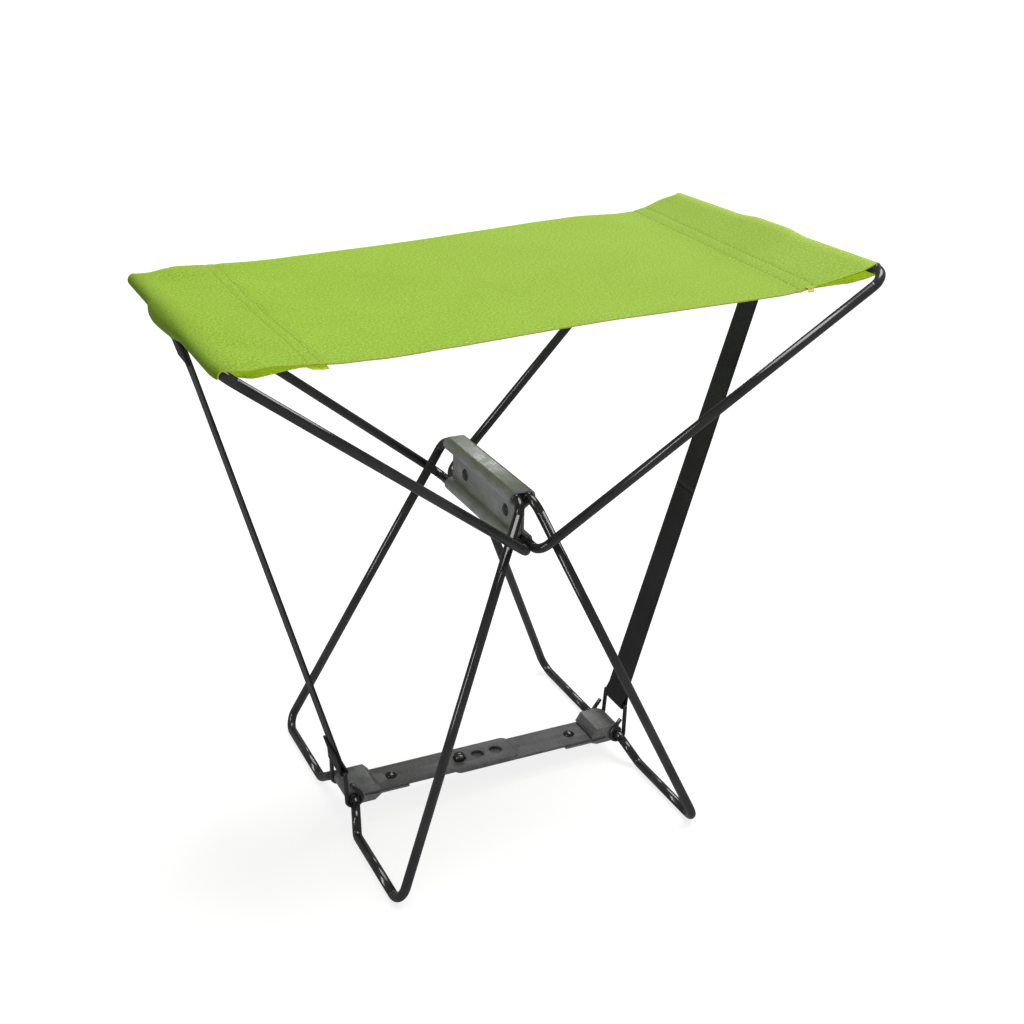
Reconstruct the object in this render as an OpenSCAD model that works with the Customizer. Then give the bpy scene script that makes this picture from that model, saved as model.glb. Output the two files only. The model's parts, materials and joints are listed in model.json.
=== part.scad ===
// Folding camp stool: four bent wire frames hinged in one sheet clamp, a fabric seat,
// a two-part brace between the legs and a strap at each end.
// +Z is up, +X runs along the seat, +Y runs across it. The origin is on the floor, midway between the legs.

/* [Wire] */
// Thickness of the frame wire
wire_d = 5; // [4.5:0.1:5.4]
// Radius of the frames' corners, to the wire's centre line
corner_r = 8; // [6:0.5:8.5]
// Play between a wire and the sheet that holds it
running_gap = 0.06; // [0.02:0.01:0.1]

/* [Legs] */
// Length of a leg frame, from its pivot to its foot wire
leg_length = 205.2; // [195:0.2:220]
// Lean of the legs from upright, in degrees
leg_angle = 24; // [20:0.1:27]
// Width of a leg frame at its pivot
leg_pivot_w = 97; // [96.6:0.2:99]
// Distance between the two legs' pivots
leg_pivot_gap = 7; // [5.6:0.2:11]
// Width of a leg frame at its feet
foot_w = 185; // [160:1:200]
// Height of the raised part of the foot wire, along the leg
riser_h = 12.2; // [10:0.2:14]

/* [Seat frames] */
// Distance from the seat frames' pivots up to the legs' pivots
pivot_rise = 24; // [23:0.2:28]
// Width of both seat frames at their pivots
seat_pivot_w = 114; // [112:1:120]
// Length of the left seat frame
left_seat_length = 198; // [190:1:208]
// Lean of the left seat frame from upright, in degrees
left_seat_angle = 52.4; // [49:0.1:55]
// Width of the left seat frame at its top
left_seat_w = 166; // [156:1:176]
// Length of the right seat frame
right_seat_length = 213; // [205:1:222]
// Lean of the right seat frame from upright, in degrees
right_seat_angle = 50; // [47:0.1:53]
// Width of the right seat frame at its top
right_seat_w = 198; // [192:1:206]

/* [Clamp] */
// Length of the clamp along the pivots
clamp_length = 84; // [60:1:84]
// Thickness of the clamp's sheet
clamp_sheet = 1.2; // [1:0.1:1.3]

/* [Brace] */
// Width of the brace strips
strip_w = 20; // [16:1:21]
// Thickness of the brace strips
strip_t = 1.5; // [1.2:0.1:1.8]
// Distance between the adjusting holes
hole_pitch = 11.3; // [10.5:0.1:12]
// Diameter of the adjusting holes
hole_d = 7.5; // [6.8:0.1:8]
// Diameter of the peg
peg_d = 6; // [5:0.1:6.2]

/* [Soft parts] */
// Width of the seat fabric
fabric_w = 185; // [175:1:190]
// Thickness of the seat fabric, as a plain solid
fabric_t = 1; // [0.8:0.1:1.2]
// Depth of the sleeve at each end of the seat
sleeve_depth = 50; // [40:1:60]
// Width of the straps
strap_w = 20; // [16:1:22]
// Thickness of the straps
strap_t = 1.3; // [1:0.1:1.5]

/* [Hidden] */
$fn = 48;

wire_r = wire_d / 2;
bore_r = wire_r + running_gap;
// The pivots lie in pairs, each this far from the middle: the seat frames' wires almost touch
leg_pivot_x = leg_pivot_gap / 2;
seat_pivot_x = wire_r + 0.1;
leg_pivot_z = wire_r + leg_length * cos(leg_angle);
seat_pivot_z = leg_pivot_z - pivot_rise;

// Raised foot wire: its length along the leg, and its place for the right-hand leg
raised_w = 27;
riser_foot_w = 60;
riser_bend_r = 6;
raised_length = leg_length - riser_h;
raised_x = leg_pivot_x + raised_length * sin(leg_angle);
raised_z = leg_pivot_z - raised_length * cos(leg_angle);

// Top wires of the seat frames
left_top_x = -seat_pivot_x - left_seat_length * sin(left_seat_angle);
left_top_z = seat_pivot_z + left_seat_length * cos(left_seat_angle);
right_top_x = seat_pivot_x + right_seat_length * sin(right_seat_angle);
right_top_z = seat_pivot_z + right_seat_length * cos(right_seat_angle);

// Straps run straight from the raised foot wires to the top wires
left_strap_length = norm([left_top_x + raised_x, left_top_z - raised_z]);
left_strap_tilt = atan((-left_top_x - raised_x) / (left_top_z - raised_z));
right_strap_length = norm([right_top_x - raised_x, right_top_z - raised_z]);
right_strap_tilt = atan((right_top_x - raised_x) / (right_top_z - raised_z));
// A folded strap bends here, measured from the raised foot wire
left_strap_bend = 151.1;
right_strap_bend = 152.2;

// Brace: the left strip lies on the right one, and both are level with the raised foot wires
strip_gap = 0.1;
left_strip_z = raised_z - 0.9;
right_strip_z = left_strip_z - strip_t - strip_gap;
peg_x = -14.4;
left_strip_end = 19;
right_strip_end = -20.4;
strip_start = 75;
brace_rivet_x = 56;
bracket_w = 21;
bracket_sheet = 1.2;
tongue_x = 49;
rivet_r = 2.2;
brace_head_r = 3.3;
brace_head_h = 1.9;

// Rings: thin wire, curled loosely round the raised foot wire
ring_r = 1.2;
curl_r = 4.3;
curl_y = 12.3;
ring_h = 17;
ring_top_w = 23;

// The strap is looped on the top wire, and the fabric goes round the strap. The seat folds at fabric_bend_x.
strap_loop_gap = 0.1;
fabric_loop_r = wire_r + 2 * strap_loop_gap + strap_t + 0.2 + fabric_t / 2;
fabric_bend_x = -4.3;

// Plane geometry
function unit(v) = v / norm(v);
function left_of(v) = [-v.y, v.x];
function turn_angle(a, b) = atan2(a.x * b.y - a.y * b.x, a * b);
function arc_points(centre, r, from, to, steps) =
    [for (i = [0:steps]) let (a = from + (to - from) * i / steps) centre + r * [cos(a), sin(a)]];
function side_of(p, i) =
    i == 0 ? left_of(unit(p[1] - p[0])) :
    i == len(p) - 1 ? left_of(unit(p[i] - p[i - 1])) :
    let (a = left_of(unit(p[i] - p[i - 1])), b = left_of(unit(p[i + 1] - p[i]))) (a + b) / (1 + a * b);

// A strip of sheet whose middle line is the list of points p in the XZ plane
module sheet(p, thickness, width) {
    last = len(p) - 1;
    left_edge = [for (i = [0:last]) p[i] + side_of(p, i) * thickness / 2];
    right_edge = [for (i = [0:last]) p[last - i] - side_of(p, last - i) * thickness / 2];
    rotate([90, 0, 0]) linear_extrude(height = width, center = true)
        polygon(concat(left_edge, right_edge));
}

// One corner of a bent wire: a is the direction coming in and b the direction going out.
// A bend is a hair thinner than the straights, as drawn wire is, and the straights reach a little into it.
bend_thinning = 0.02;
bend_overlap = 0.1;

module wire_bend(corner, a, b, r, d) {
    turn = turn_angle(a, b);
    side = sign(turn);
    centre = corner - a * r * tan(abs(turn) / 2) + left_of(a) * r * side;
    start = atan2(-left_of(a).y * side, -left_of(a).x * side);
    translate([centre.x, centre.y, 0]) rotate([0, 0, min(start, start + turn)])
        rotate_extrude(angle = abs(turn)) translate([r, 0]) circle(d = d - bend_thinning);
}

// A round bar between two points
module bar(from, to, d) {
    v = to - from;
    translate(from) rotate([0, acos(v.z / norm(v)), atan2(v.y, v.x)]) cylinder(d = d, h = norm(v));
}

// A closed loop of wire in the XY plane, with one bend radius for each corner
module wire_loop(corners, radii, d) {
    n = len(corners);
    heading = [for (i = [0:n - 1]) unit(corners[(i + 1) % n] - corners[i])];
    setback = [for (i = [0:n - 1])
        radii[i] * tan(abs(turn_angle(heading[(i + n - 1) % n], heading[i])) / 2)];
    for (i = [0:n - 1]) {
        next = (i + 1) % n;
        from = corners[i] + heading[i] * (setback[i] - bend_overlap);
        to = corners[next] - heading[i] * (setback[next] - bend_overlap);
        bar([from.x, from.y, 0], [to.x, to.y, 0], d);
        wire_bend(corners[i], heading[(i + n - 1) % n], heading[i], radii[i], d);
    }
}

// Turns a loop drawn in XY so that its X runs along Y and its Y runs up
module stand_up() rotate([90, 0, 90]) children();

module leg_loop() {
    pivot = leg_pivot_w / 2;
    foot = foot_w / 2;
    low = riser_foot_w / 2;
    high = raised_w / 2;
    corners = [
        [pivot, 0], [-pivot, 0], [-foot, -leg_length], [-low, -leg_length], [-high, -raised_length],
        [high, -raised_length], [low, -leg_length], [foot, -leg_length]
    ];
    radii = [
        corner_r, corner_r, corner_r, riser_bend_r, riser_bend_r, riser_bend_r, riser_bend_r, corner_r
    ];
    stand_up() wire_loop(corners, radii, wire_d);
}

module seat_loop(length, top_w) {
    corners = [
        [-seat_pivot_w / 2, 0], [seat_pivot_w / 2, 0], [top_w / 2, length], [-top_w / 2, length]
    ];
    stand_up() wire_loop(corners, [for (i = [0:3]) corner_r], wire_d);
}

module left_leg() {
    color("#1c1d1f") translate([-leg_pivot_x, 0, leg_pivot_z]) rotate([0, leg_angle, 0]) leg_loop();
}

module right_leg() {
    color("#1c1d1f") translate([leg_pivot_x, 0, leg_pivot_z]) rotate([0, -leg_angle, 0]) leg_loop();
}

module left_seat_frame() {
    color("#1c1d1f") translate([-seat_pivot_x, 0, seat_pivot_z]) rotate([0, -left_seat_angle, 0])
        seat_loop(left_seat_length, left_seat_w);
}

module right_seat_frame() {
    color("#1c1d1f") translate([seat_pivot_x, 0, seat_pivot_z]) rotate([0, right_seat_angle, 0])
        seat_loop(right_seat_length, right_seat_w);
}

// Clamp: half of its sheet, from the middle of the top roll down to the end of the curl.
// The angles are where each bend starts and ends round its wire.
clamp_r = bore_r + clamp_sheet / 2;
cheek_gap = 0.4;
cheek_x = (clamp_sheet + cheek_gap) / 2;
roll_end = 232;
flare_r = seat_pivot_x - cheek_x;
curl_start = 96;
curl_end = 300;

function half_clamp() =
    let (
        top = [-leg_pivot_x, leg_pivot_z],
        low = [-seat_pivot_x, seat_pivot_z],
        tuck = top + clamp_r * [cos(roll_end), sin(roll_end)],
        pinch_z = tuck.y - (-cheek_x - tuck.x) / tan(roll_end - 180),
        flare_z = seat_pivot_z + clamp_r + flare_r
    )
    concat(
        [[0, leg_pivot_z + clamp_r]],
        arc_points(top, clamp_r, 90, roll_end, 24),
        [[-cheek_x, pinch_z]],
        arc_points([-seat_pivot_x, flare_z], flare_r, 0, -90, 6),
        arc_points(low, clamp_r, curl_start, curl_end, 30)
    );

// Rivets through the two cheeks of the clamp
rivet_z = (leg_pivot_z + seat_pivot_z) / 2 - 1;
rivet_y = 25.5;
rivet_hole_r = 2;
clamp_head_r = 3.4;
clamp_head_h = 1.2;
// Play between a rivet and its hole, and between a rivet's head and the sheet
rivet_gap = 0.02;

module clamp() {
    color("#4a4c50") difference() {
        union() {
            sheet(half_clamp(), clamp_sheet, clamp_length);
            mirror([1, 0, 0]) sheet(half_clamp(), clamp_sheet, clamp_length);
        }
        for (side = [-1, 1], pivot = [[leg_pivot_x, leg_pivot_z], [seat_pivot_x, seat_pivot_z]])
            translate([side * pivot.x, 0, pivot.y]) rotate([90, 0, 0])
                cylinder(r = bore_r, h = clamp_length + 1, center = true);
        for (y = [-rivet_y, rivet_y]) translate([0, y, rivet_z]) rotate([0, 90, 0])
            cylinder(r = rivet_hole_r, h = 20, center = true);
    }
}

// A low domed head standing on the XY plane
module dome(r, h) {
    sphere_r = (r * r + h * h) / (2 * h);
    intersection() {
        translate([0, 0, h - sphere_r]) sphere(r = sphere_r);
        cylinder(r = r, h = h);
    }
}

// A rivet along +Z with a domed head on each side of a stack of sheets
module rivet(shank_r, head_r, head_h, low, high) {
    into_head = 0.1;
    translate([0, 0, low - into_head]) cylinder(r = shank_r, h = high - low + 2 * into_head);
    translate([0, 0, high]) dome(head_r, head_h);
    translate([0, 0, low]) mirror([0, 0, 1]) dome(head_r, head_h);
}

module clamp_rivets() {
    reach = cheek_x + (clamp_sheet + rivet_gap) / 2;
    color("#3a3b3e") for (y = [-rivet_y, rivet_y]) translate([0, y, rivet_z]) rotate([0, 90, 0])
        rivet(rivet_hole_r - rivet_gap, clamp_head_r, clamp_head_h, -reach, reach);
}

// Bracket: a flat-topped knuckle on the raised wire, with a slot for the end of the strip and a tongue under it.
// Its outline is bent sheet and its core is solid. It is drawn round the origin, with +X towards the middle.
bracket_r = bore_r + bracket_sheet / 2;
bracket_top = 4.4;
bracket_bottom = -4.7;
bracket_wrap = [280, 96];
flat_bottom_x = [3.5, 12.5];
flat_top_x = [3, 12.6];
under_strip_x = 16.5;
wall_foot = [15.6, 0.45];
sheet_gap = 0.01;

function bracket_path(strip_z) =
    let (
        under = strip_z - bracket_sheet / 2 - sheet_gap,
        strip_top = strip_z + strip_t,
        tongue = raised_x - tongue_x
    )
    concat(
        [[tongue, under], [under_strip_x, under]],
        [[flat_bottom_x[1], bracket_bottom], [flat_bottom_x[0], bracket_bottom]],
        arc_points([0, 0], bracket_r, bracket_wrap[0], bracket_wrap[1], 24),
        [[flat_top_x[0], bracket_top], [flat_top_x[1], bracket_top]],
        [[wall_foot.x, strip_top + wall_foot.y]]
    );

// The core fills the knuckle above and below the strip, and behind its end
module bracket_core(strip_z) {
    strip_end_gap = 0.3;
    wall_overlap = 0.2;
    back = raised_x - strip_start - strip_end_gap;
    over = strip_z + strip_t + sheet_gap;
    under = strip_z - sheet_gap;
    rotate([90, 0, 0]) linear_extrude(height = bracket_w, center = true) polygon([
        [0, bracket_top], [flat_top_x[1], bracket_top], [wall_foot.x - wall_overlap, over], [back, over],
        [back, under], [under_strip_x, under - bracket_sheet / 2],
        [flat_bottom_x[1], bracket_bottom], [0, bracket_bottom]
    ]);
}

module bracket(strip_z) {
    rivet_depth = 5;
    color("#3c3d40") difference() {
        union() {
            sheet(bracket_path(strip_z), bracket_sheet, bracket_w);
            bracket_core(strip_z);
        }
        rotate([90, 0, 0]) cylinder(r = bore_r, h = bracket_w + 1, center = true);
        translate([raised_x - brace_rivet_x, 0, strip_z - rivet_depth])
            cylinder(r = rivet_r, h = rivet_depth + 0.5);
    }
}

module left_bracket() translate([-raised_x, 0, raised_z]) bracket(left_strip_z - raised_z);

module right_bracket() translate([raised_x, 0, raised_z]) mirror([1, 0, 0])
    bracket(right_strip_z - raised_z);

// A brace strip from its bracket at x = start to its free end at x = end, with rounded free corners
module strip(start, end, z) {
    corner = 4;
    overlap = 0.01;
    way = sign(end - start);
    translate([min(start, end - way * corner), -strip_w / 2, z])
        cube([abs(end - start) - corner, strip_w, strip_t]);
    translate([way > 0 ? end - corner - overlap : end, corner - strip_w / 2, z])
        cube([corner + overlap, strip_w - 2 * corner, strip_t]);
    for (side = [-1, 1]) translate([end - way * corner, side * (strip_w / 2 - corner), z])
        cylinder(r = corner, h = strip_t);
}

module left_strip() {
    color("#5a5c60") difference() {
        strip(-strip_start, left_strip_end, left_strip_z);
        for (i = [0:2]) translate([peg_x + i * hole_pitch, 0, left_strip_z - 1])
            cylinder(d = hole_d, h = strip_t + 2);
        translate([-brace_rivet_x, 0, left_strip_z - 1]) cylinder(r = rivet_r, h = strip_t + 2);
    }
}

// The right strip has a small round dimple beyond the end of the left one
dimple_x = 25;
dimple_r = 3.2;
dimple_h = 0.6;

module right_strip() {
    color("#4e5054") difference() {
        union() {
            strip(strip_start, right_strip_end, right_strip_z);
            translate([dimple_x, 0, right_strip_z + strip_t - 0.01]) dome(dimple_r, dimple_h);
        }
        translate([brace_rivet_x, 0, right_strip_z - 1]) cylinder(r = rivet_r, h = strip_t + 2);
        translate([peg_x, 0, right_strip_z - 1]) cylinder(d = peg_foot_d + 2 * rivet_gap, h = strip_t + 2);
    }
}

module brace_rivet(x, strip_z) {
    low = strip_z - bracket_sheet - 2 * sheet_gap;
    color("#2c2d30") translate([x, 0, 0])
        rivet(rivet_r - rivet_gap, brace_head_r, brace_head_h, low, strip_z + strip_t + sheet_gap);
}

module left_brace_rivet() brace_rivet(-brace_rivet_x, left_strip_z);

module right_brace_rivet() brace_rivet(brace_rivet_x, right_strip_z);

// The peg stands on the right strip and passes up through a hole in the left one
peg_foot_d = 4;
peg_top = 3;
peg_chamfer = 0.5;

module brace_peg() {
    foot_z = right_strip_z + strip_t;
    body_h = strip_gap + strip_t + peg_top - peg_chamfer;
    color("#3a3b3e") translate([peg_x, 0, 0]) {
        translate([0, 0, right_strip_z]) cylinder(d = peg_foot_d, h = strip_t + 0.1);
        translate([0, 0, foot_z]) cylinder(d = peg_d, h = body_h);
        translate([0, 0, foot_z + body_h - 0.01]) cylinder(d1 = peg_d, d2 = peg_d - 1, h = peg_chamfer);
    }
}

// Ring drawn round the origin: the raised wire runs along Y, and the strap pulls towards +Z.
// Each side wire comes down on the outer side, goes under the raised wire and ends in a short tail.
ring_tail = 8.5;
ring_tail_angle = 20;

// The small swelling where two lengths of ring wire meet
module ring_knuckle(p) translate(p) sphere(r = ring_r + 0.02);

module ring() {
    top = [for (side = [-1, 1]) [0, side * ring_top_w / 2, ring_h]];
    color("#26272a") {
        bar(top[0], top[1], ring_r * 2);
        for (side = [0, 1]) {
            y = (side * 2 - 1) * curl_y;
            ring_knuckle(top[side]);
            bar([-curl_r, y, 0], top[side], ring_r * 2);
            ring_knuckle([-curl_r, y, 0]);
            translate([0, y, 0]) rotate([90, 0, 0]) rotate([0, 0, 180])
                rotate_extrude(angle = 180 + ring_tail_angle) translate([curl_r, 0]) circle(r = ring_r);
            translate([0, y, 0]) rotate([0, -ring_tail_angle, 0]) {
                ring_knuckle([curl_r, 0, 0]);
                translate([curl_r, 0, 0]) cylinder(r = ring_r, h = ring_tail);
            }
        }
    }
}

module left_ring() translate([-raised_x, 0, raised_z]) rotate([0, -left_strap_tilt, 0]) ring();

module right_ring() translate([raised_x, 0, raised_z]) mirror([1, 0, 0])
    rotate([0, -right_strap_tilt, 0]) ring();

// Strap, drawn along +Z from the raised wire. Each end is looped round its wire and sewn back on itself,
// with the short sewn end on the outer side.
strap_x = strap_t / 2 + 0.05;
sewn = 8;
ring_neck = 6;
wire_neck = 12;

module strap_lower(bend) {
    r = ring_r + strap_loop_gap + strap_t / 2;
    color("#2a2b2d") sheet(concat(
        [[strap_x, bend], [strap_x, ring_h + ring_neck]],
        arc_points([0, ring_h], r, 360, 180, 12),
        [[-strap_x, ring_h + ring_neck], [-strap_x, ring_h + ring_neck + sewn]]
    ), strap_t, strap_w);
}

module strap_upper(bend, length) {
    r = wire_r + strap_loop_gap + strap_t / 2;
    color("#2a2b2d") sheet(concat(
        [[strap_x, bend], [strap_x, length - wire_neck]],
        arc_points([0, length], r, 0, 180, 16),
        [[-strap_x, length - wire_neck], [-strap_x, length - wire_neck - sewn]]
    ), strap_t, strap_w);
}

module at_left_strap() translate([-raised_x, 0, raised_z]) rotate([0, -left_strap_tilt, 0]) children();

module at_right_strap() translate([raised_x, 0, raised_z]) mirror([1, 0, 0])
    rotate([0, -right_strap_tilt, 0]) children();

module left_strap_lower() at_left_strap() strap_lower(left_strap_bend);

module left_strap_upper() at_left_strap() strap_upper(left_strap_bend, left_strap_length);

module right_strap_lower() at_right_strap() strap_lower(right_strap_bend);

module right_strap_upper() at_right_strap() strap_upper(right_strap_bend, right_strap_length);

// Seat fabric: a sheet from the middle of the seat to a top wire, round it and back under to the seam.
// The lower layer stops short of the frame's corners, and the strap comes out through a slot.
seat_slope = (right_top_z - left_top_z) / (right_top_x - left_top_x);
function seat_z(x) = left_top_z + fabric_loop_r + (x - left_top_x) * seat_slope;

sleeve_wrap = 172;
lower_gap = 0.05;
cut_top = 1;
cut_h = 11;
cut_l = sleeve_depth + 12;
cut_w = 40;

// One cut through the lower layer only: it reaches from the fold past the seam, and out to both sides of y
module lower_cut(top, way, y, w) {
    translate([top.x - way * (cut_l / 2 - 3), y, top.y - cut_top - cut_h / 2])
        cube([cut_l, w, cut_h], center = true);
}

module seat_half(top, way, clear_w) {
    seam_x = top.x - way * sleeve_depth;
    color("#8cc21e") difference() {
        sheet(concat(
            [[fabric_bend_x, seat_z(fabric_bend_x)]],
            arc_points(top, fabric_loop_r, 90, 90 - way * sleeve_wrap, 20),
            [[seam_x, seat_z(seam_x) - fabric_t - lower_gap]]
        ), fabric_t, fabric_w);
        lower_cut(top, way, 0, strap_w + 3);
        for (side = [-1, 1]) lower_cut(top, way, side * (clear_w + cut_w) / 2, cut_w);
    }
}

module left_seat_fabric() seat_half([left_top_x, left_top_z], -1, left_seat_w - 2 * corner_r - 4);

module right_seat_fabric() seat_half([right_top_x, right_top_z], 1, fabric_w - 1);

clamp();
clamp_rivets();
left_leg();
right_leg();
left_seat_frame();
right_seat_frame();
left_bracket();
right_bracket();
left_strip();
right_strip();
left_brace_rivet();
right_brace_rivet();
brace_peg();
left_ring();
right_ring();
left_strap_upper();
left_strap_lower();
right_strap_upper();
right_strap_lower();
left_seat_fabric();
right_seat_fabric();
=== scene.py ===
"""Looks of the folding camp stool.

It has lacquered wire frames, a sheet clamp, a brace, webbing straps and a sewn fabric seat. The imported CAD
model is the frame. Hard parts keep their CAD shapes and get finishes and softened edges. The seat and the
straps are modelled here. Lengths below are in millimetres and meshes are made in metres.
"""

import json
import math

import bpy
from mathutils import Matrix, Vector, noise


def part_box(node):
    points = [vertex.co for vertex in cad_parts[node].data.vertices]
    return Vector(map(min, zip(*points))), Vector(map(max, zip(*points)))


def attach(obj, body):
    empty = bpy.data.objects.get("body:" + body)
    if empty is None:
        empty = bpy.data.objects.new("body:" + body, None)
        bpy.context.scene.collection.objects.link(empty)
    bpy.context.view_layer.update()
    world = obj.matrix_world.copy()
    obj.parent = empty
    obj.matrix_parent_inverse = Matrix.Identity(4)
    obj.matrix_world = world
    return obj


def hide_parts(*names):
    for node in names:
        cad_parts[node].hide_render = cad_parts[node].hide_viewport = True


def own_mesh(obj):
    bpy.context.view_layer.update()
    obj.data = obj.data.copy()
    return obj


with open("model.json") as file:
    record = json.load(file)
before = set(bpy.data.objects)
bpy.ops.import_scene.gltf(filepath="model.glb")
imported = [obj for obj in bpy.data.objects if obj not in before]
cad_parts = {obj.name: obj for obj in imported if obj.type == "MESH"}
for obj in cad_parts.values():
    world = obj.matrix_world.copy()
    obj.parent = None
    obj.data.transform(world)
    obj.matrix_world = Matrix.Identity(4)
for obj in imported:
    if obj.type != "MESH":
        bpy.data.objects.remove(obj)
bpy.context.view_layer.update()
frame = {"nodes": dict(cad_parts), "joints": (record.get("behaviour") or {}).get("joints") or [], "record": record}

MM = 0.001
PIVOTS = {joint["name"]: Vector(joint["pos_m"]) / MM for joint in frame["joints"]}


# ---------------------------------------------------------------- small helpers

def clamp01(value):
    return max(0.0, min(1.0, value))


def smooth_step(low, high, value):
    t = clamp01((value - low) / (high - low))
    return t * t * (3 - 2 * t)


def mix(a, b, t):
    return a + (b - a) * t


def steps(start, end, size):
    """Evenly spaced values from start to end, about size apart, with both ends included."""
    count = max(1, round(abs(end - start) / size))
    return [mix(start, end, i / count) for i in range(count + 1)]


def make_object(name, points, faces, uvs=None):
    """A smooth-shaded mesh object from points in millimetres. uvs holds a pair in metres for each point."""
    mesh = bpy.data.meshes.new(name)
    mesh.from_pydata([tuple(Vector(p) * MM) for p in points], [], faces)
    if uvs:
        layer = mesh.uv_layers.new(name="UVMap")
        for loop in mesh.loops:
            layer.data[loop.index].uv = uvs[loop.vertex_index]
    mesh.polygons.foreach_set("use_smooth", [True] * len(mesh.polygons))
    mesh.update()
    obj = bpy.data.objects.new(name, mesh)
    bpy.context.scene.collection.objects.link(obj)
    return obj


def add_piece(obj, body, slot, material, *stands_for):
    """Gives a finished piece its body, its finish and the CAD nodes it stands for. The slot argument is not used.
    """
    if not obj.data.materials:
        obj.data.materials.append(material)
    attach(obj, body)
    if stands_for:
        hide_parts(*stands_for)
    return obj


# ---------------------------------------------------------------- materials

class Finish:
    """A node material, built up from a Principled shader."""

    def __init__(self, name, color, roughness, metallic=0.0):
        self.material = bpy.data.materials.new(name)
        self.material.use_nodes = True
        self.tree = self.material.node_tree
        self.shader = self.tree.nodes["Principled BSDF"]
        self.set("Base Color", (*color, 1))
        self.set("Roughness", roughness)
        self.set("Metallic", metallic)
        self.height = None

    def node(self, kind, **inputs):
        made = self.tree.nodes.new(kind)
        for key, value in inputs.items():
            self.feed(made.inputs[key.replace("_", " ")], value)
        return made

    def feed(self, socket, value):
        if isinstance(value, bpy.types.NodeSocket):
            self.tree.links.new(value, socket)
        else:
            socket.default_value = value

    def set(self, name, value):
        self.feed(self.shader.inputs[name], value)

    def coordinates(self, kind="Object"):
        return self.node("ShaderNodeTexCoord").outputs[kind]

    def math(self, operation, a, b=0.0, c=0.0):
        made = self.tree.nodes.new("ShaderNodeMath")
        made.operation = operation
        for socket, value in zip(made.inputs, (a, b, c)):
            self.feed(socket, value)
        return made.outputs[0]

    def noise(self, vector, scale, detail=3.0, roughness=0.5):
        made = self.node("ShaderNodeTexNoise", Vector=vector, Scale=scale, Detail=detail, Roughness=roughness)
        return made.outputs["Fac"]

    def stretch(self, vector, scale):
        made = self.node("ShaderNodeMapping", Vector=vector)
        made.inputs["Scale"].default_value = scale
        return made.outputs["Vector"]

    def spread(self, value, low, high, to_low=0.0, to_high=1.0):
        """Maps the range low..high of a value onto to_low..to_high, and stops at both ends."""
        made = self.node("ShaderNodeMapRange", Value=value)
        for name, number in (("From Min", low), ("From Max", high), ("To Min", to_low), ("To Max", to_high)):
            made.inputs[name].default_value = number
        return made.outputs["Result"]

    def blend(self, factor, a, b):
        made = self.tree.nodes.new("ShaderNodeMix")
        made.data_type = "RGBA"
        self.feed(made.inputs[0], factor)
        for socket, value in zip(made.inputs[6:8], (a, b)):
            self.feed(socket, value if isinstance(value, bpy.types.NodeSocket) else (*value, 1))
        return made.outputs[2]

    def bump(self, height, depth_mm, strength=1.0):
        """Adds relief, with the height value's full range standing for a depth in millimetres."""
        made = self.node("ShaderNodeBump", Height=height, Strength=strength, Distance=depth_mm * MM)
        if self.height is not None:
            self.feed(made.inputs["Normal"], self.height)
        self.height = made.outputs["Normal"]
        self.set("Normal", self.height)


SCUFFS = 0.5
SCUFF_LIGHTENING = 2.2


def lacquered(name, color, light, roughness, peel=1.4):
    """Black lacquer on steel: faint cloudiness, dull scuffs, and an orange peel with the pitch peel."""
    finish = Finish(name, color, roughness)
    place = finish.coordinates()
    cloud = finish.spread(finish.noise(place, 90, 4), 0.35, 0.7)
    scratch_place = finish.stretch(place, (1.0, 1.0, 0.25))
    scratches = finish.spread(finish.noise(scratch_place, 1500, 6, 0.7), 0.62, 0.75)
    patches = finish.spread(finish.noise(place, 45, 3), 0.5, 0.68, 0, SCUFFS)
    worn = finish.math("MULTIPLY", scratches, patches)
    tone = finish.blend(cloud, color, light)
    finish.set("Base Color", finish.blend(worn, tone, [min(1.0, c * SCUFF_LIGHTENING) for c in light]))
    dull = finish.math("MULTIPLY_ADD", cloud, 0.05, roughness)
    finish.set("Roughness", finish.math("MULTIPLY_ADD", worn, 0.2, dull))
    finish.set("Specular IOR Level", 0.5)
    finish.bump(finish.noise(place, 1000 / peel, 2), 0.02)
    finish.bump(scratches, 0.008, SCUFFS)
    return finish.material


def coated_sheet(name, color, light, roughness, metallic=0.25):
    """Grey coated sheet steel: rolling streaks along Y, speckle, and paler worn spots."""
    finish = Finish(name, color, roughness, metallic)
    place = finish.coordinates()
    streaks = finish.noise(finish.stretch(place, (1.0, 0.08, 1.0)), 1600, 5, 0.65)
    speckle = finish.spread(finish.noise(place, 1500, 3), 0.35, 0.65)
    patches = finish.spread(finish.noise(place, 110, 5, 0.6), 0.42, 0.66)
    tone = finish.blend(patches, color, light)
    streak_color = [c * 1.5 for c in light]
    speckle_color = [c * 0.5 for c in color]
    tone = finish.blend(finish.spread(streaks, 0.4, 0.68, 0, 0.4), tone, streak_color)
    finish.set("Base Color", finish.blend(finish.math("MULTIPLY", speckle, 0.35), tone, speckle_color))
    finish.set("Roughness", finish.math("MULTIPLY_ADD", patches, 0.14, roughness))
    finish.bump(streaks, 0.02)
    finish.bump(speckle, 0.015)
    return finish.material


CLOTH_GREEN = (0.335, 0.57, 0.027)
# Painted sheen: the cloth's paler, bluer colour at its right end, standing in for light glancing off it
SHEEN_PALED_GREEN = (0.49, 0.66, 0.135)
DEEP_GREEN = (0.24, 0.4, 0.012)
# Painted shade: darker green for the cloth wrapped on the left wire, whose side faces away from the light
LEFT_WRAP_SHADE_GREEN = (0.085, 0.16, 0.003)
TOP_GLOW = (0.37, 0.56, 0.042)
LOWER_GLOW = (0.72, 0.88, 0.14)
THREAD_PITCH = 0.75
THREAD_WANDER = 0.6
UNDER_HEIGHT = 0.35
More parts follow.
